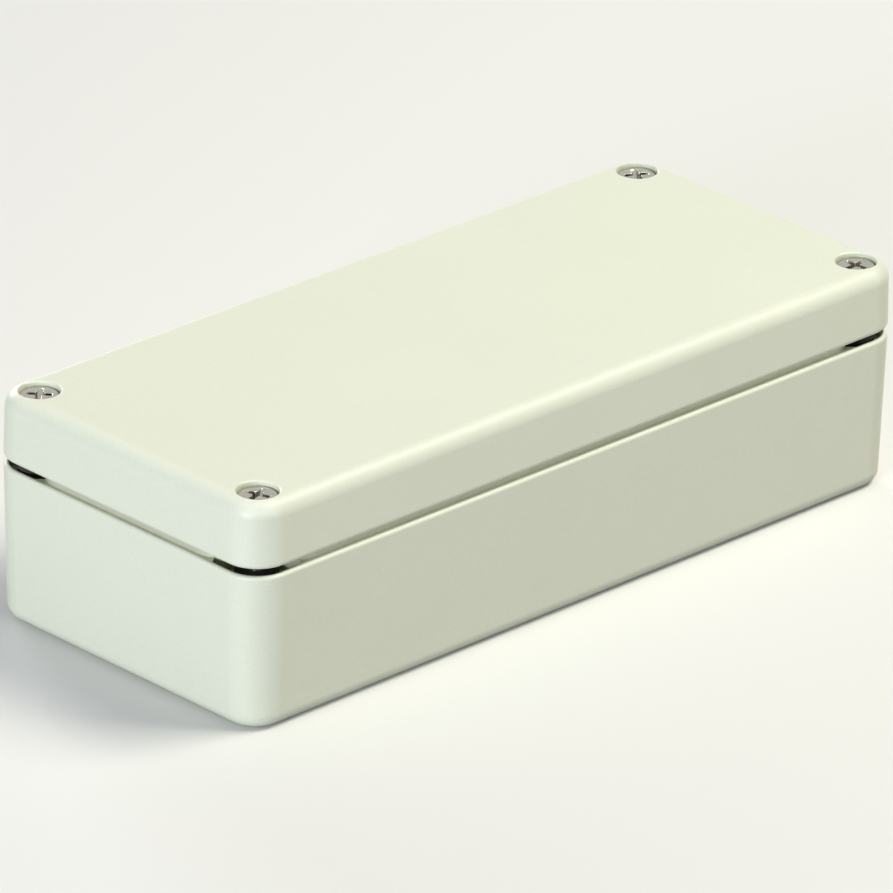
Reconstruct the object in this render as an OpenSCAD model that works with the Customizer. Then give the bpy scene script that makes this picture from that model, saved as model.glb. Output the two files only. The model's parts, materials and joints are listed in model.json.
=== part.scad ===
// Die cast aluminium enclosure: deep base, shallow lid, seal in a tongue and groove,
// and four captive lid screws in corner pockets outside the seal.
// Millimetres. X runs along the box, Y across it, Z up. The origin is the middle of the underside.

/* [Enclosure] */
// Length over the parting line
box_l = 150; // [120:1:220]
// Width over the parting line
box_w = 64; // [56:1:110]
// Height over base and lid
box_h = 40.5; // [38:0.5:60]
// Height of the base up to its ledge
base_h = 27.7; // [26:0.1:28.5]
// Height of the shadow gap between base ledge and lid
shadow_gap = 1.2; // [0.6:0.1:1.6]
// Radius of the upright corners at the parting line
corner_r = 6.4; // [5.4:0.2:8]
// Draft of the base's outer walls, in degrees
base_draft = 1.5; // [0.5:0.1:2]
// Draft of the lid's outer walls, in degrees
lid_draft = 1.2; // [0.5:0.1:2]

/* [Edges] */
// Radius round the top of the lid
lid_top_r = 2.9; // [1:0.1:3.2]
// Radius along the lid's lower edge
lid_low_r = 0.9; // [0.4:0.1:1.2]
// Radius along the base's ledge
base_rim_r = 0.6; // [0.3:0.1:0.7]
// Radius round the underside
base_foot_r = 2.6; // [1:0.1:3]

/* [Walls] */
// Thickness of the base's floor
floor_t = 3.2; // [2.5:0.1:4]
// Thickness of the lid's top
lid_t = 3; // [2.5:0.1:3.5]
// Radius between floor and walls inside
floor_fillet = 1.3; // [0.5:0.1:1.3]
// Draft of the inner walls, in degrees
inner_draft = 0.7; // [0.2:0.1:0.8]

/* [Seal] */
// Setback of the neck behind the outer wall, which is the ledge's width
neck_in = 1.2; // [0.8:0.1:1.4]
// Setback of the sealing tongue
tongue_in = 2.6; // [2.4:0.1:2.8]
// Thickness of the sealing tongue
tongue_t = 1.4; // [1.2:0.1:1.5]
// Height of the tongue over the neck
tongue_h = 2.6; // [2:0.1:3]
// Clearance between tongue and groove walls
groove_play = 0.3; // [0.2:0.05:0.4]
// Depth of the groove in the lid
groove_h = 5; // [4:0.1:6]
// Thickness of the rib inside the groove
rib_t = 1.3; // [1:0.1:1.4]

/* [Lid screws] */
// Distance of the screws from both outer walls
screw_in = 6; // [6:0.1:6.5]
// Nominal thread diameter
thread_d = 4; // [4]
// Diameter of the cheese head
head_d = 6.7; // [6.5:0.1:6.9]
// Height of the cheese head
head_h = 2.6; // [2.2:0.1:2.8]
// Depth of the head below the lid's top
head_sink = 0.7; // [0.5:0.1:1.5]
// Diameter of the counterbore
counterbore_d = 7.1; // [7:0.1:7.6]
// Radius round the counterbore's mouth
mouth_r = 0.3; // [0.2:0.05:0.4]
// Diameter of the undercut that keeps the screw in the lid
undercut_d = 3; // [2.8:0.1:3.2]
// Length of the thread
thread_l = 7; // [6:0.5:8]
// Thickness of the lid's bridge under the screw head
bridge_t = 2.5; // [2:0.1:3]
// Depth of the corner pockets below the ledge
pocket_h = 2; // [1:0.1:3]

/* [Fixings] */
// Depth of the fixing holes in the underside
fixing_depth = 8; // [6:0.5:9]
// Radius of the fixing holes, the tapping drill's
fixing_r = 1.65; // [1.6:0.05:1.7]
// Spacing of the circuit board bosses along the box
board_x = 108; // [80:1:110]
// Spacing of the circuit board bosses across the box
board_y = 40; // [30:1:42]
// Height of the circuit board bosses
board_boss_h = 5; // [3:0.5:8]
// Diameter of the circuit board bosses
board_boss_d = 7; // [6:0.5:8]
// Radius of the tapped holes in the circuit board bosses
board_hole_r = 1.5; // [1.25:0.05:1.6]

/* [Earth terminal] */
// Place of the earth terminal along the box
earth_x = -24; // [-40:1:40]
// Place of the earth terminal across the box
earth_y = 19; // [0:1:20]
// Height of the earth boss
earth_boss_h = 4; // [3:0.5:6]
// Diameter of the earth boss
earth_boss_d = 9.5; // [8:0.5:11]

/* [Hidden] */
$fn = 64;
over = 1;                                     // run-out of cuts past a face
run_play = 0.03;                              // radial running play of turning pieces

paint = [0.91, 0.93, 0.86];
stainless = [0.76, 0.76, 0.75];
rubber = [0.13, 0.13, 0.13];
nylon = [0.1, 0.1, 0.1];
brass = [0.78, 0.62, 0.3];

// Levels
lid_z = base_h + shadow_gap;                  // underside of the lid's skirt, on the neck
lid_h = box_h - lid_z;
tongue_z = lid_z + tongue_h;
groove_z = lid_z + groove_h;
seat_z = box_h - head_sink - head_h;          // under the screw head
bridge_z = seat_z - bridge_t;                 // underside of the bridge
pillar_z = base_h - pocket_h;                 // top of the base's screw pillars
shoulder_gap = 0.4;                           // thread shoulder over the pillar
shoulder_z = pillar_z + shoulder_gap;

// Straight stretches of the outer wall run between the corner centres
span_x = box_l / 2 - corner_r;
span_y = box_w / 2 - corner_r;

// The seal runs round the screws on circles about two sets of centres: the screws
// themselves, and points bend_in further along both walls.
screw_x = box_l / 2 - screw_in;
screw_y = box_w / 2 - screw_in;
pillar_r = 2.8;                               // screw to the path at zero setback
bend_step = screw_in + pillar_r;
bend_x = screw_x - bend_step;
bend_y = screw_y - bend_step;

thread_r = thread_d / 2;
tapped_r = thread_r + run_play;
tapped_depth = 12;
mouth_chamfer = 0.6;
fixing_chamfer = 0.4;
pocket_wall = 0.8;                            // base wall outside a corner pocket
pocket_r = 7;                                 // reach of a corner pocket round its screw
washer_t = 0.8;
washer_r = 3.6;
washer_room_r = 3.9;
bridge_hole_r = 2.15;
recess_d = 4.3;                               // cross recess at the head's top
recess_depth = 2;

tongue_end = tongue_in + tongue_t;
groove_in = tongue_in - groove_play;
groove_end = tongue_end + groove_play;
rib_end = groove_end + rib_t;

// Screws stand in the order front left, front right, back right, back left
CORNERS = [[-1, -1], [1, -1], [1, 1], [-1, 1]];

// Waste outside a circle that rounds a corner: a and b are the tangent points on the
// two walls, tip is the sharp corner, c is the centre. It runs out past both walls.
module corner_waste(a, tip, b, c, r) {
    past_a = over * (a - c) / r;
    past_b = over * (b - c) / r;
    difference() {
        polygon([a, a + past_a, tip + past_a + past_b, b + past_b, b]);
        translate(c) circle(r);
    }
}

// Half section of a drafted block, from a corner centre outwards. The wide end is at
// z = 0 with radius wide_r, the narrow end is at z = h with radius end_r.
module wall_section(h, draft, wide_r, end_r) {
    s = sin(draft);
    c = cos(draft);
    narrow = corner_r - h * tan(draft);
    wide_c = [corner_r - wide_r * (1 + s) / c, wide_r];
    end_c = [corner_r - (end_r + (h - end_r) * s) / c, h - end_r];
    difference() {
        polygon([[0, 0], [corner_r, 0], [narrow, h], [0, h]]);
        corner_waste([wide_c.x, 0], [corner_r, 0], wide_c + wide_r * [c, s], wide_c, wide_r);
        corner_waste([end_c.x, h], [narrow, h], end_c + end_r * [c, s], end_c, end_r);
    }
}

// Drafted, rounded block with its wide end down
module drafted_block(h, draft, wide_r, end_r) {
    for (mx = [0, 1], my = [0, 1])
        mirror([mx, 0, 0]) mirror([0, my, 0]) translate([span_x, span_y, 0])
            rotate_extrude(angle = 90) wall_section(h, draft, wide_r, end_r);
    for (my = [0, 1])
        mirror([0, my, 0]) translate([-span_x, span_y, 0])
            rotate([90, 0, 90]) linear_extrude(2 * span_x) wall_section(h, draft, wide_r, end_r);
    for (mx = [0, 1])
        mirror([mx, 0, 0]) translate([span_x, span_y, 0])
            rotate([90, 0, 0]) linear_extrude(2 * span_y) wall_section(h, draft, wide_r, end_r);
    translate([-span_x, -span_y, 0]) cube([2 * span_x, 2 * span_y, h]);
}

// Sweeps a section round the seal's path. The section's x is the setback behind the
// outer wall and stays under screw_in, and its y is the height.
module seal_sweep() {
    for (mx = [0, 1], my = [0, 1]) mirror([mx, 0, 0]) mirror([0, my, 0]) {
        translate([screw_x, screw_y, 0]) rotate([0, 0, 180])
            rotate_extrude(angle = 90) translate([pillar_r, 0]) children();
        translate([bend_x, screw_y, 0])
            rotate_extrude(angle = 90) translate([screw_in, 0]) mirror([1, 0]) children();
        translate([screw_x, bend_y, 0])
            rotate_extrude(angle = 90) translate([screw_in, 0]) mirror([1, 0]) children();
    }
    for (my = [0, 1])
        mirror([0, my, 0]) translate([-bend_x, box_w / 2, 0])
            rotate([90, 0, 90]) linear_extrude(2 * bend_x) mirror([1, 0]) children();
    for (mx = [0, 1])
        mirror([mx, 0, 0]) translate([box_l / 2, bend_y, 0])
            rotate([90, 0, 0]) linear_extrude(2 * bend_y) mirror([1, 0]) children();
}

// Plan of all that lies inside the seal's path at a setback
module seal_plan(setback) {
    square([2 * bend_x, box_w - 2 * setback], center = true);
    square([box_l - 2 * setback, 2 * bend_y], center = true);
    for (c = CORNERS) {
        translate([c.x * bend_x, c.y * screw_y]) circle(screw_in - setback);
        translate([c.x * screw_x, c.y * bend_y]) circle(screw_in - setback);
    }
    difference() {
        square([2 * screw_x, 2 * screw_y], center = true);
        for (c = CORNERS) translate([c.x * screw_x, c.y * screw_y]) circle(pillar_r + setback);
    }
}

// Plan of the outer wall moved inwards
module wall_plan(setback) {
    r = corner_r - setback;
    square([2 * span_x, box_w - 2 * setback], center = true);
    square([box_l - 2 * setback, 2 * span_y], center = true);
    for (c = CORNERS) translate([c.x * span_x, c.y * span_y]) circle(r);
}

// Neck and tongue on the base, on a root let into the wall
module tongue_section() {
    root_z = base_h - over;
    edge_r = 0.45;
    translate([neck_in, root_z]) square([tongue_end - neck_in, lid_z - root_z]);
    translate([tongue_in, root_z]) square([tongue_t, tongue_z - edge_r - root_z]);
    translate([tongue_in + edge_r, root_z]) square([tongue_t - 2 * edge_r, tongue_z - root_z]);
    for (x = [tongue_in + edge_r, tongue_end - edge_r]) translate([x, tongue_z - edge_r]) circle(edge_r);
}

// Edge of the base's inside, drafted and filleted to the floor
module inside_section() {
    top_z = tongue_z + over;
    s = sin(inner_draft);
    c = cos(inner_draft);
    foot_x = tongue_end + (top_z - floor_t) * tan(inner_draft);
    fillet_c = [foot_x + floor_fillet * (1 - s) / c, floor_t + floor_fillet];
    difference() {
        polygon([[tongue_end, top_z], [screw_in, top_z], [screw_in, floor_t], [foot_x, floor_t]]);
        corner_waste([fillet_c.x, floor_t], [foot_x, floor_t], fillet_c - floor_fillet * [c, s],
            fillet_c, floor_fillet);
    }
}

module inside_space() {
    seal_sweep() inside_section();
    translate([0, 0, floor_t]) linear_extrude(tongue_z + over - floor_t) difference() {
        square([2 * screw_x, 2 * screw_y], center = true);
        for (c = CORNERS) translate([c.x * screw_x, c.y * screw_y]) circle(pillar_r + screw_in);
    }
}

// Round boss with a tapped blind hole
module tapped_boss(h, d, hole_r, hole_depth) {
    difference() {
        cylinder(h = h, d = d);
        translate([0, 0, h - hole_depth]) cylinder(h = hole_depth + over, r = hole_r);
    }
}

module base() {
    color(paint) difference() {
        union() {
            difference() {
                union() {
                    translate([0, 0, base_h]) mirror([0, 0, 1])
                        drafted_block(base_h, base_draft, base_rim_r, base_foot_r);
                    seal_sweep() tongue_section();
                }
                inside_space();
            }
            for (c = CORNERS) translate([c.x * board_x / 2, c.y * board_y / 2, floor_t - over])
                tapped_boss(board_boss_h + over, board_boss_d, board_hole_r, board_boss_h);
            translate([earth_x, earth_y, floor_t - over])
                tapped_boss(earth_boss_h + over, earth_boss_d, tapped_r, earth_boss_h);
        }
        corner_pockets();
        for (c = CORNERS) translate([c.x * screw_x, c.y * screw_y, 0]) {
            translate([0, 0, pillar_z - tapped_depth]) cylinder(h = tapped_depth + over, r = tapped_r);
            translate([0, 0, pillar_z - mouth_chamfer])
                cylinder(h = mouth_chamfer, r1 = tapped_r, r2 = tapped_r + mouth_chamfer);
            translate([0, 0, -over]) cylinder(h = fixing_depth + over, r = fixing_r);
            cylinder(h = fixing_chamfer, r1 = fixing_r + fixing_chamfer, r2 = fixing_r);
        }
    }
}

// Pockets round the screws, between the outer wall and the neck
module corner_pockets() {
    translate([0, 0, pillar_z]) linear_extrude(base_h - pillar_z + over) difference() {
        intersection() {
            wall_plan(pocket_wall);
            for (c = CORNERS) translate([c.x * screw_x, c.y * screw_y]) circle(pocket_r);
        }
        seal_plan(neck_in);
    }
}

module lid() {
    color(paint) difference() {
        translate([0, 0, lid_z]) drafted_block(lid_h, lid_draft, lid_low_r, lid_top_r);
        seal_sweep() translate([groove_in, lid_z - over]) square([groove_end - groove_in, groove_h + over]);
        translate([0, 0, lid_z - over]) linear_extrude(lid_h - lid_t + over) seal_plan(rib_end);
        for (c = CORNERS) translate([c.x * screw_x, c.y * screw_y, 0]) {
            translate([0, 0, lid_z - over]) cylinder(h = bridge_z - lid_z + over, r = washer_room_r);
            translate([0, 0, lid_z]) cylinder(h = lid_h, r = bridge_hole_r);
            counterbore();
        }
    }
}

// Seat for the cheese head, with a rounded mouth
module counterbore() {
    r = counterbore_d / 2;
    rotate_extrude() {
        translate([0, seat_z]) square([r, box_h + over - seat_z]);
        difference() {
            translate([0, box_h - mouth_r]) square([r + mouth_r, mouth_r + over]);
            translate([r + mouth_r, box_h - mouth_r]) circle(mouth_r);
        }
    }
}

module gasket() {
    side_play = 0.05;
    color(rubber) seal_sweep() translate([groove_in + side_play, tongue_z])
        square([groove_end - groove_in - 2 * side_play, groove_z - tongue_z]);
}

// Cross recess, cut down from z = 0
module cross_recess() {
    slot = 0.95;
    flare = (recess_d - slot) / 2 / recess_depth;
    intersection() {
        translate([0, 0, -recess_depth])
            cylinder(h = recess_depth + over, r1 = slot / 2, r2 = recess_d / 2 + flare * over);
        for (a = [0, 90]) rotate([0, 0, a])
            translate([-recess_d, -slot / 2, -recess_depth])
                cube([2 * recess_d, slot, recess_depth + over]);
    }
}

// Captive cheese-head screw: head, undercut shank and thread
module captive_screw() {
    top_z = seat_z + head_h;
    edge_r = 0.4;
    end_z = shoulder_z - thread_l;
    end_chamfer = 0.6;
    difference() {
        rotate_extrude() {
            translate([0, seat_z]) square([head_d / 2, head_h - edge_r]);
            translate([0, seat_z]) square([head_d / 2 - edge_r, head_h]);
            translate([head_d / 2 - edge_r, top_z - edge_r]) circle(edge_r);
            translate([0, end_z]) square([undercut_d / 2, top_z - edge_r - end_z]);
            polygon([
                [0, end_z], [thread_r - end_chamfer, end_z], [thread_r, end_z + end_chamfer],
                [thread_r, shoulder_z], [0, shoulder_z]
            ]);
        }
        translate([0, 0, top_z]) cross_recess();
    }
}

module at_screw(i) {
    translate([CORNERS[i - 1].x * screw_x, CORNERS[i - 1].y * screw_y, 0]) children();
}

// Each screw stops with its recess at its own angle
RECESS_TURN = [18, 4, 62, 40];

module lid_screw(i) {
    color(stainless) at_screw(i) rotate([0, 0, RECESS_TURN[i - 1]]) captive_screw();
}

// Rides up on the thread's shoulder and stops under the lid's bridge
module retaining_washer(i) {
    color(nylon) at_screw(i) translate([0, 0, shoulder_z]) difference() {
        cylinder(h = washer_t, r = washer_r);
        translate([0, 0, -over]) cylinder(h = washer_t + 2 * over, r = undercut_d / 2 + run_play);
    }
}

// Earth terminal, stacked on its boss
plain_t = 0.8;
plain_d = 9;
spring_t = 0.9;
spring_w = 1.5;
spring_bore_r = 2.1;
plain_z = floor_t + earth_boss_h;
spring_z = plain_z + plain_t;
earth_head_z = spring_z + spring_t;

module earth_plain_washer() {
    color(brass) translate([earth_x, earth_y, plain_z]) difference() {
        cylinder(h = plain_t, d = plain_d);
        translate([0, 0, -over]) cylinder(h = plain_t + 2 * over, r = bridge_hole_r);
    }
}

module earth_spring_washer() {
    split = 8;
    color(stainless) translate([earth_x, earth_y, spring_z])
        rotate_extrude(angle = 360 - split) translate([spring_bore_r, 0]) square([spring_w, spring_t]);
}

module earth_screw() {
    top_z = earth_head_z + head_h;
    edge_r = 0.8;
    screw_l = 5.2;
    color(brass) translate([earth_x, earth_y, 0]) difference() {
        rotate_extrude() {
            translate([0, earth_head_z]) square([head_d / 2, head_h - edge_r]);
            translate([0, earth_head_z]) square([head_d / 2 - edge_r, head_h]);
            translate([head_d / 2 - edge_r, top_z - edge_r]) circle(edge_r);
            translate([0, earth_head_z - screw_l]) square([thread_r, screw_l + over]);
        }
        translate([0, 0, top_z]) cross_recess();
    }
}

base();
lid();
gasket();
lid_screw(1);  // lid_screw_1
lid_screw(2);  // lid_screw_2
lid_screw(3);  // lid_screw_3
lid_screw(4);  // lid_screw_4
retaining_washer(1);  // retaining_washer_1
retaining_washer(2);  // retaining_washer_2
retaining_washer(3);  // retaining_washer_3
retaining_washer(4);  // retaining_washer_4
earth_screw();
earth_spring_washer();
earth_plain_washer();
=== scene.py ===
import json
import math

import bmesh
import bpy
from mathutils import Matrix, Vector

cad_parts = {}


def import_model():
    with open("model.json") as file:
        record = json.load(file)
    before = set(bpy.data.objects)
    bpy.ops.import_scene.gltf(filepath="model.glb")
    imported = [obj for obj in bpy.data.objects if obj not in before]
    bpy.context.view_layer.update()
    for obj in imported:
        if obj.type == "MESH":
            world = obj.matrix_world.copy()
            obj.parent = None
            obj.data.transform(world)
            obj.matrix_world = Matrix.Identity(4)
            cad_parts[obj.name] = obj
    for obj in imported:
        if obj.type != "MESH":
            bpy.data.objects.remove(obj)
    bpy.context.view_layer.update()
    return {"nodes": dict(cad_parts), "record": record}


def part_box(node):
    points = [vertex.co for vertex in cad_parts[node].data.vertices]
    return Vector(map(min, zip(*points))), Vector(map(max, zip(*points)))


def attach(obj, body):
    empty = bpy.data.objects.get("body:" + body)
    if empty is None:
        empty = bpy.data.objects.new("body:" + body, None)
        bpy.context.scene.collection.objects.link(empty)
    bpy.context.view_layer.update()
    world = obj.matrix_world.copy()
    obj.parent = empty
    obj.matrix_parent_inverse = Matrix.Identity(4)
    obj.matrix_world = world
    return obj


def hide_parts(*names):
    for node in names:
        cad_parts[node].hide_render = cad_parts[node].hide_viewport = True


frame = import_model()
nodes = frame["nodes"]

MM = 0.001


def middle(node):
    """Where the axis of a round CAD node stands, in millimetres."""
    low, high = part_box(node)
    return round((low.x + high.x) / 2 / MM, 3), round((low.y + high.y) / 2 / MM, 3)


def heights(node):
    """Lowest and highest level of a CAD node, in millimetres."""
    low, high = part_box(node)
    return round(low.z / MM, 3), round(high.z / MM, 3)


# All sizes and levels are in millimetres. These come from the frame.
SCREW_X, SCREW_Y = middle("lid_screw_3")
EARTH_X, EARTH_Y = middle("earth_screw")
EARTH_BOSS_Z = heights("earth_plain_washer")[0]
SHOULDER_Z = heights("retaining_washer_3")[0]
LID_Z = heights("lid")[0]
TONGUE_Z = heights("base")[1]
BOARD = next(mount for mount in frame["record"]["mounts"] if mount["name"] == "board_bosses")
BOSS_X = BOARD["dims"]["spacing_x_mm"] / 2
BOSS_Y = BOARD["dims"]["spacing_y_mm"] / 2
BOSS_HOLE_R = BOARD["dims"]["hole_r_mm"]
BOSS_Z = BOARD["pos_m"][2] / MM

# The castings' outer wall at the parting line, and the base's inner levels.
HALF_L, HALF_W, CORNER_R = 75.0, 32.0, 6.4
LEDGE_Z, PILLAR_Z, FLOOR_Z = 27.7, 25.7, 3.2
POCKET_R = 7.0
# The ledge keeps its coat colour up to here from the outer wall, which is just past its rounded edge;
# further in begins the painted shade of the gap.
RIM = 0.62
# Countersink of the pillars' tapped holes, and the bare face on the earth boss.
MOUTH = 0.6
CONTACT_R = 4.6
# How far a mask reaches past the faces it marks.
REACH = 0.05

# M4 screws with a cross recess that narrows downwards.
M4_R, PITCH = 2.0, 0.7
THREAD_DEPTH = 0.6134 * PITCH
HEAD_R, HEAD_H = 3.35, 2.6
CROSS_REACH, CROSS_WIDTH, CROSS_FILLET, CROSS_DEPTH = 2.15, 0.98, 0.42, 1.9
REACH_LOSS, WIDTH_LOSS, FILLET_LOSS = 1.0, 0.14, 0.26
# How far out, and how far under the head's top, the recess's rounded edge runs.
RECESS_EDGE = ((0.0, 0.10), (0.012, 0.05), (0.04, 0.015), (0.09, 0.0))
SHANK_R, NECK = 1.5, 0.25
# How far each lid screw's head is turned, in degrees.
HEAD_TURNS = (18, 4, 62, 40)


# ---------------------------------------------------------------- materials

class Nodes:
    """The node tree of a material or a world, built by short calls."""

    def __init__(self, owner):
        self.owner = owner
        owner.use_nodes = True
        self.tree = owner.node_tree
        self.tree.nodes.clear()

    def add(self, kind, inputs=(), **settings):
        node = self.tree.nodes.new(kind)
        for key, value in settings.items():
            setattr(node, key, value)
        for key, value in dict(inputs).items():
            if isinstance(value, bpy.types.NodeSocket):
                self.tree.links.new(value, node.inputs[key])
            else:
                node.inputs[key].default_value = value
        return node

    def math(self, operation, a, b=0.0):
        return self.add("ShaderNodeMath", {0: a, 1: b}, operation=operation).outputs[0]

    def mix(self, factor, a, b):
        """From colour a to colour b. Inputs 6 and 7 and output 2 are the node's colours."""
        return self.add("ShaderNodeMix", {0: factor, 6: a, 7: b}, data_type="RGBA").outputs[2]

    def place(self):
        """The point in the part's own frame, in metres, since the CAD nodes sit at its origin."""
        return self.add("ShaderNodeTexCoord").outputs["Object"]

    def axes(self):
        """X, Y and Z of that point."""
        return self.add("ShaderNodeSeparateXYZ", {0: self.place()}).outputs

    def noise(self, scale, detail=2.0, roughness=0.5):
        """Noise of that many lumps a metre."""
        inputs = {"Vector": self.place(), "Scale": scale, "Detail": detail, "Roughness": roughness}
        return self.add("ShaderNodeTexNoise", inputs).outputs["Fac"]

    def ramp(self, value, low, high, to_low, to_high):
        """The value moved from one range to another, and held inside it."""
        inputs = {"Value": value, "From Min": low, "From Max": high, "To Min": to_low, "To Max": to_high}
        return self.add("ShaderNodeMapRange", inputs).outputs[0]

    def uneven(self, scale, low, high):
        """Noise spread from low to high, as 0.3 to 0.7 holds most of it."""
        return self.ramp(self.noise(scale), 0.3, 0.7, low, high)

    def bump(self, height, depth, normal=None):
        """Bump whose height of 1 stands depth metres high."""
        inputs = {"Height": height, "Distance": depth, "Strength": 1.0}
        if normal is not None:
            inputs["Normal"] = normal
        return self.add("ShaderNodeBump", inputs).outputs["Normal"]

    def within(self, height, low, high):
        """1 where a height in metres lies between two levels in millimetres."""
        above = self.math("GREATER_THAN", height, low * MM)
        below = self.math("LESS_THAN", height, high * MM)
        return self.math("MULTIPLY", above, below)

    def near(self, along, across, radius):
        """1 where two sides in metres span less than a radius in millimetres."""
        along = self.math("MULTIPLY", along, along)
        across = self.math("MULTIPLY", across, across)
        return self.math("LESS_THAN", self.math("ADD", along, across), (radius * MM) ** 2)

    def seen(self):
        """1 to the camera, glossy and transmission rays, 0 to those that light the part."""
        rays = self.add("ShaderNodeLightPath").outputs
        clear = self.math("MAXIMUM", rays["Is Camera Ray"], rays["Is Transmission Ray"])
        return self.math("MAXIMUM", clear, rays["Is Glossy Ray"])

    def finish(self, **inputs):
        """The material, with these inputs of its shader."""
        named = {key.replace("_", " "): value for key, value in inputs.items()}
        shader = self.add("ShaderNodeBsdfPrincipled", named)
        self.add("ShaderNodeOutputMaterial", {"Surface": shader.outputs[0]})
        return self.owner


def rgb(red, green, blue):
    """A colour written as it looks, 0 to 255, as Blender's linear one."""
    def linear(value):
        value /= 255
        return value / 12.92 if value <= 0.04045 else ((value + 0.055) / 1.055) ** 2.4
    return (linear(red), linear(green), linear(blue), 1.0)


def bore(n, x, y, radius, low, high, mirrored=True):
    """1 within that radius of an upright axis between two levels, or of all four mirrored ones."""
    point = n.axes()
    along, across = point["X"], point["Y"]
    if mirrored:
        along, across = n.math("ABSOLUTE", along), n.math("ABSOLUTE", across)
    near = n.near(n.math("SUBTRACT", along, x * MM), n.math("SUBTRACT", across, y * MM), radius)
    return n.math("MULTIPLY", near, n.within(point["Z"], low, high))


def gap_shade_mask(n, top):
    """Mask of painted shade: 1 inside the rim, from the ledge up to that level, and in the corner pockets,
    the faces that are darkened to stand in for the shade in the shadow gap.
    """
    hair = 0.02
    point = n.axes()
    past = []
    for axis, straight in (("X", HALF_L - CORNER_R), ("Y", HALF_W - CORNER_R)):
        beyond = n.math("SUBTRACT", n.math("ABSOLUTE", point[axis]), straight * MM)
        past.append(n.math("MAXIMUM", beyond, 0.0))
    inside = n.near(past[0], past[1], CORNER_R - RIM)
    gap = n.within(point["Z"], LEDGE_Z - hair, top)
    pockets = bore(n, SCREW_X, SCREW_Y, POCKET_R + REACH, PILLAR_Z - REACH, LEDGE_Z)
    return n.math("MULTIPLY", inside, n.math("MAXIMUM", gap, pockets))


def machined(n):
    """Two masks: the base's tapped holes, and all that is cut after coating."""
    m4_hole = M4_R + REACH
    floor_hole = FLOOR_Z - REACH
    holes = n.math(
        "MAXIMUM",
        bore(n, SCREW_X, SCREW_Y, m4_hole, -REACH, PILLAR_Z - MOUTH),
        bore(n, BOSS_X, BOSS_Y, BOSS_HOLE_R + REACH, floor_hole, BOSS_Z + REACH))
    earth_hole = bore(n, EARTH_X, EARTH_Y, m4_hole, floor_hole, EARTH_BOSS_Z + REACH, mirrored=False)
    holes = n.math("MAXIMUM", holes, earth_hole)
    mouths = bore(n, SCREW_X, SCREW_Y, m4_hole + MOUTH, PILLAR_Z - MOUTH - REACH, PILLAR_Z + REACH)
    contact = bore(
        n, EARTH_X, EARTH_Y, CONTACT_R, EARTH_BOSS_Z - REACH, EARTH_BOSS_Z + REACH, mirrored=False)
    return holes, n.math("MAXIMUM", n.math("MAXIMUM", holes, mouths), contact)


def paint(name, gap_shade_top):
    """Satin powder coat on an aluminium die casting: a slow orange peel with a fine grain over it.

    The faces inside the shadow gap and the corner pockets carry painted shade: a darker, slightly metallic
    grey that stands in for the shade there. The machined faces are bright, and the holes' threads are a
    bump that rises and falls once a pitch."""
    n = Nodes(bpy.data.materials.new(name))
    # Mask of the gap's faces and the corner pockets, which are painted darker as shade.
    gap_shade = gap_shade_mask(n, gap_shade_top)
    holes, bare = machined(n)
    tint = n.mix(n.noise(35, 3), rgb(223, 227, 208), rgb(228, 231, 213))
    speck = n.ramp(n.noise(2600), 0.35, 0.65, 0.985, 1.015)
    coat = n.add("ShaderNodeVectorMath", {0: tint, 1: speck}, operation="MULTIPLY").outputs[0]
    # Darker grey for the faces inside the shadow gap and the corner pockets: painted shade, not a colour
    # of the part.
    gap_shade_grey = n.mix(n.noise(800, 4), rgb(190, 191, 171), rgb(201, 202, 182))
    bright = n.mix(n.noise(1400, 3), rgb(196, 197, 198), rgb(216, 217, 218))
    peel = n.bump(n.noise(520), 38e-6)
    grain = n.bump(n.noise(1900, 3, 0.6), 24e-6, peel)
    flank = n.math("PINGPONG", n.axes()["Z"], PITCH / 2 * MM)
    steepness = 1.2
    threads = n.bump(n.math("MULTIPLY", flank, holes), steepness, grain)
    polish = n.math("MULTIPLY", bare, 0.12)
    # Where the gap mask is 1 the coat gives way to the darker, slightly metallic grey of the painted
    # shade.
    return n.finish(
        Base_Color=n.mix(bare, n.mix(gap_shade, coat, gap_shade_grey), bright),
        Metallic=n.math("MAXIMUM", bare, n.math("MULTIPLY", gap_shade, 0.3)),
        Roughness=n.math("SUBTRACT", n.uneven(900, 0.40, 0.48), polish),
        Normal=threads)


def steel():
    """Bright stainless steel, a little uneven. Its colour is fitted to the photo."""
    n = Nodes(bpy.data.materials.new("stainless"))
    return n.finish(
        Base_Color=n.mix(n.noise(900, 3), rgb(178, 176, 165), rgb(198, 196, 185)),
        Metallic=1.0,
        Roughness=n.uneven(2400, 0.12, 0.2),
        Normal=n.bump(n.noise(5200), 2.2e-6))


def brass():
    """Turned brass, slightly dulled."""
    n = Nodes(bpy.data.materials.new("brass"))
    return n.finish(
        Base_Color=n.mix(n.noise(700, 3), rgb(205, 176, 108), rgb(222, 194, 126)),
        Metallic=1.0,
        Roughness=n.uneven(1800, 0.22, 0.36),
        Normal=n.bump(n.noise(4200), 3e-6))


def rubber():
    """Matt black sealing rubber with a moulded grain."""
    n = Nodes(bpy.data.materials.new("gasket"))
    return n.finish(
        Base_Color=n.mix(n.noise(600, 3), rgb(38, 38, 38), rgb(50, 50, 49)),
        Roughness=n.uneven(1500, 0.72, 0.88),
        Normal=n.bump(n.noise(2600, 3), 14e-6))


def nylon():
    """Moulded black nylon."""
    n = Nodes(bpy.data.materials.new("nylon"))
    return n.finish(
        Base_Color=n.mix(n.noise(800), rgb(34, 34, 35), rgb(42, 42, 43)),
        Roughness=n.uneven(1900, 0.42, 0.56),
        Normal=n.bump(n.noise(3200), 6e-6))


MATERIALS = {"stainless": steel(), "brass": brass(), "gasket": rubber(), "nylon": nylon()}
# Each casting's paint, with painted shade on the gap's faces up to the tongue's top on the base and up to
# its underside on the lid.
CASTINGS = {"base": paint("paint_base", TONGUE_Z + REACH), "lid": paint("paint_lid", LID_Z + REACH)}

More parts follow.
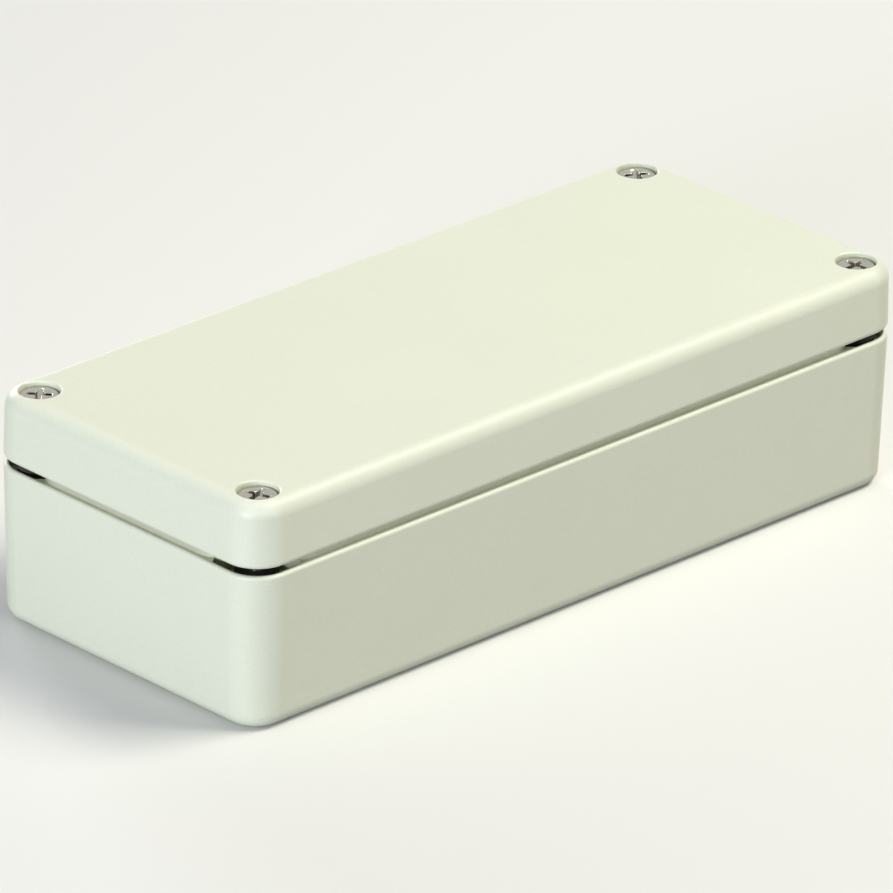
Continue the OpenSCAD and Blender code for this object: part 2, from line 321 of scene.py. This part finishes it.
for part in frame["record"]["subparts"]:
    shown = nodes[part["node"]]
    shown.data.materials.clear()
    shown.data.materials.append(CASTINGS.get(part["node"]) or MATERIALS[part["material_slot"]])


# ---------------------------------------------------------------- screws

# Points along an inner corner and a side of the cross, which give those of a quarter turn.
CORNER_POINTS, SIDE_POINTS = 3, 6
QUARTER = 2 * CORNER_POINTS + 3 * SIDE_POINTS


def cross_ring(reach, width, fillet):
    """Outline of a cross recess: arms that reach that far from the axis, with rounded inner corners."""
    half = width / 2
    root = half + fillet
    tip = math.sqrt(reach * reach - half * half)
    sweep = math.asin(half / reach)
    step = 45 / CORNER_POINTS
    arm = []
    for k in range(CORNER_POINTS):
        a = math.radians(135 - step * k)
        arm.append((root + fillet * math.cos(a), -root + fillet * math.sin(a)))
    for k in range(SIDE_POINTS):
        arm.append((root + (tip - root) * k / SIDE_POINTS, -half))
    for k in range(SIDE_POINTS):
        a = -sweep + 2 * sweep * k / SIDE_POINTS
        arm.append((reach * math.cos(a), reach * math.sin(a)))
    for k in range(SIDE_POINTS):
        arm.append((tip + (root - tip) * k / SIDE_POINTS, half))
    for k in range(CORNER_POINTS):
        a = math.radians(270 - step * k)
        arm.append((root + fillet * math.cos(a), root + fillet * math.sin(a)))
    ring = []
    for quarter in range(4):
        c, s = math.cos(quarter * math.pi / 2), math.sin(quarter * math.pi / 2)
        ring += [(x * c - y * s, x * s + y * c) for x, y in arm]
    return ring


def round_ring(radius):
    """A circle with a cross outline's number of points, from the same diagonal."""
    angles = [-math.pi / 4 + math.pi / 2 / QUARTER * k for k in range(4 * QUARTER)]
    return [(radius * math.cos(a), radius * math.sin(a)) for a in angles]


class Skin:
    """Rings of points, each sewn to the one before, from a closed start to a closed end."""

    def __init__(self):
        self.mesh = bmesh.new()
        self.last = None

    def ring(self, points):
        new = [self.mesh.verts.new((x * MM, y * MM, z * MM)) for x, y, z in points]
        if self.last is None:
            self.mesh.faces.new(new)
        else:
            for k in range(len(new)):
                j = (k + 1) % len(new)
                self.mesh.faces.new((self.last[k], self.last[j], new[j], new[k]))
        self.last = new

    def circle(self, radius, z):
        self.ring([(x, y, z) for x, y in round_ring(radius)])

    def close(self, point):
        tip = self.mesh.verts.new([c * MM for c in point])
        for k in range(len(self.last)):
            self.mesh.faces.new((self.last[k], self.last[(k + 1) % len(self.last)], tip))

    def build(self, name, slot, axis, turn):
        """The finished piece, moved to its axis and turned by that many degrees, in a slot's finish."""
        sharp = math.radians(38)
        bmesh.ops.recalc_face_normals(self.mesh, faces=self.mesh.faces)
        data = bpy.data.meshes.new(name)
        self.mesh.to_mesh(data)
        self.mesh.free()
        for face in data.polygons:
            face.use_smooth = True
        data.set_sharp_from_angle(angle=sharp)
        place = Matrix.Translation((axis[0] * MM, axis[1] * MM, 0))
        data.transform(place @ Matrix.Rotation(math.radians(turn), 4, "Z"))
        data.materials.append(MATERIALS[slot])
        piece = bpy.data.objects.new(name, data)
        bpy.context.scene.collection.objects.link(piece)
        return piece


def head(skin, top_z, dome, edge):
    """Cheese head from the bottom of its cross recess out over the edge and down to its seat.

    Its top falls by dome from the middle to the full radius, and its edge is rounded."""
    def crown(outline, drop):
        return [(x, y, top_z - drop - dome * (math.hypot(x, y) / HEAD_R) ** 2) for x, y in outline]

    for share in (1.0, 0.9, 0.7, 0.5, 0.3, 0.12):
        outline = cross_ring(
            CROSS_REACH - REACH_LOSS * share, CROSS_WIDTH - WIDTH_LOSS * share,
            CROSS_FILLET - FILLET_LOSS * share)
        skin.ring([(x, y, top_z - CROSS_DEPTH * share) for x, y in outline])
    for out, drop in RECESS_EDGE:
        mouth = cross_ring(CROSS_REACH + out, CROSS_WIDTH + 2 * out, CROSS_FILLET - out)
        skin.ring(crown(mouth, drop))
    flat_r = HEAD_R - edge
    for share in (0.25, 0.5, 0.75, 1.0):
        outline = [(a[0] + (b[0] - a[0]) * share, a[1] + (b[1] - a[1]) * share)
                   for a, b in zip(mouth, round_ring(flat_r))]
        skin.ring(crown(outline, 0.0))
    edge_z = top_z - dome * (flat_r / HEAD_R) ** 2
    edge_steps = 6
    for k in range(1, edge_steps + 1):
        a = math.pi / 2 * k / edge_steps
        skin.circle(flat_r + edge * math.sin(a), edge_z - edge * (1 - math.cos(a)))
    seat_z = top_z - HEAD_H
    chamfer = 0.12
    skin.circle(HEAD_R, seat_z + chamfer)
    skin.circle(HEAD_R - chamfer, seat_z)


def thread(skin, top_z, end_z, chamfer):
    """Right-handed M4 thread from its shoulder, which has a small chamfer, down to a chamfered end.

    Over half a pitch the flat root takes up root of the way and the flank the next share."""
    shoulder = 0.25
    root, flank = 0.2, 0.68
    rows_a_turn = 12
    minor = M4_R - THREAD_DEPTH
    rows = round((top_z - end_z) / PITCH * rows_a_turn)
    for row in range(rows + 1):
        z = top_z + (end_z - top_z) * row / rows
        limit = min(M4_R - chamfer + (z - end_z), M4_R - shoulder + (top_z - z))
        points = []
        for x, y in round_ring(1):
            phase = (z / PITCH - math.atan2(y, x) / (2 * math.pi)) % 1
            rise = (abs(2 * phase - 1) - root) / flank
            radius = min(minor + THREAD_DEPTH * min(max(rise, 0), 1), limit)
            points.append((x * radius, y * radius, z))
        skin.ring(points)
    skin.close((0, 0, end_z))


def lid_screw(index):
    """Captive screw, whose thinner shank ends at the shoulder that carries the washer."""
    node = f"lid_screw_{index}"
    tip_z, top_z = heights(node)
    seat_z = top_z - HEAD_H
    skin = Skin()
    head(skin, top_z, dome=0.08, edge=0.4)
    skin.circle(SHANK_R + NECK, seat_z)
    skin.circle(SHANK_R, seat_z - NECK)
    skin.circle(SHANK_R, SHOULDER_Z + NECK)
    skin.circle(SHANK_R + 0.1, SHOULDER_Z)
    thread(skin, SHOULDER_Z, tip_z, chamfer=0.6)
    piece = skin.build(f"machine_screw_{index}", "stainless", middle(node), HEAD_TURNS[index - 1])
    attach(piece, f"screw_{index}")
    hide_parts(node)


def earth_screw():
    """Screw of the earth terminal, with a rounder head and threaded up to it."""
    tip_z, top_z = heights("earth_screw")
    seat_z = top_z - HEAD_H
    skin = Skin()
    head(skin, top_z, dome=0.25, edge=0.8)
    skin.circle(M4_R - 0.05, seat_z)
    thread(skin, seat_z - 0.2, tip_z, chamfer=0.5)
    piece = skin.build("earth_machine_screw", "brass", middle("earth_screw"), 27)
    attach(piece, "base")
    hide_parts("earth_screw")


for number in range(1, 5):
    lid_screw(number)
earth_screw()


# ---------------------------------------------------------------- studio

def floor():
    """Pale ground, darker to diffuse rays so that it throws less light on the part's foot."""
    half = 1.6
    data = bpy.data.meshes.new("floor")
    corners = [(-half, -half, 0), (half, -half, 0), (half, half, 0), (-half, half, 0)]
    data.from_pydata(corners, [], [(0, 1, 2, 3)])
    ground = bpy.data.objects.new("floor", data)
    bpy.context.scene.collection.objects.link(ground)
    n = Nodes(bpy.data.materials.new("floor"))
    colour = n.mix(n.seen(), rgb(136, 136, 134), rgb(236, 236, 234))
    data.materials.append(n.finish(Base_Color=colour, Roughness=0.8))


def world():
    """Pale surroundings, much darker to diffuse rays."""
    n = Nodes(bpy.data.worlds.new("studio"))
    colour = n.mix(n.seen(), (0.2, 0.2, 0.2, 1), (0.8, 0.8, 0.8, 1))
    background = n.add("ShaderNodeBackground", {"Color": colour})
    n.add("ShaderNodeOutputWorld", {"Surface": background.outputs[0]})
    bpy.context.scene.world = n.owner


def lamp(name, direction, distance, size, level, colour):
    """A square soft box that shines on the origin, its distance and size in metres.

    At level 1 a face at the origin that is turned straight to it shows its colour as written."""
    aim = Vector(direction).normalized()
    data = bpy.data.lights.new(name, "AREA")
    data.shape = "SQUARE"
    data.size = size
    data.energy = level * math.pi ** 2 * distance ** 2
    data.color = colour
    box = bpy.data.objects.new(name, data)
    box.location = aim * distance
    box.rotation_euler = aim.to_track_quat("Z", "Y").to_euler()
    bpy.context.scene.collection.objects.link(box)


def camera():
    """The photo's camera, as solved from the part's edges in it."""
    azimuth, elevation, roll = (math.radians(angle) for angle in (-44.366, 24.567, 1.113))
    looked_at = Vector((-9.707, 2.105, 20.0)) * MM
    distance = 1.64754
    data = bpy.data.cameras.new("camera")
    data.sensor_width = 36
    data.lens = 400.24
    data.shift_x = 0.0509
    data.shift_y = 0.0027
    data.clip_start = 0.05
    data.clip_end = 100
    back = Vector((
        math.sin(azimuth) * math.cos(elevation), -math.cos(azimuth) * math.cos(elevation),
        math.sin(elevation)))
    right = Vector((math.cos(azimuth), math.sin(azimuth), 0))
    up = back.cross(right)
    across = right * math.cos(roll) + up * math.sin(roll)
    upright = up * math.cos(roll) - right * math.sin(roll)
    turned = Matrix((across, upright, back)).transposed().to_4x4()
    eye = bpy.data.objects.new("camera", data)
    eye.matrix_world = Matrix.Translation(looked_at + back * distance) @ turned
    bpy.context.scene.collection.objects.link(eye)
    bpy.context.scene.camera = eye


floor()
world()
lamp("key", direction=(0.4, -0.345, 0.85), distance=1.1, size=0.5, level=0.82, colour=(1.0, 0.98, 0.84))
lamp("overhead", direction=(0.0, 0.0, 1.0), distance=1.3, size=0.9, level=0.06, colour=(0.4, 0.4, 1.0))
lamp("left", direction=(-0.94, -0.28, 0.17), distance=1.6, size=0.42, level=0.79, colour=(0.87, 0.93, 1.0))
lamp("back", direction=(0.35, 0.92, 0.2), distance=2.2, size=0.8, level=0.38, colour=(1.0, 1.0, 1.0))
camera()

bpy.context.scene.view_settings.view_transform = "Standard"
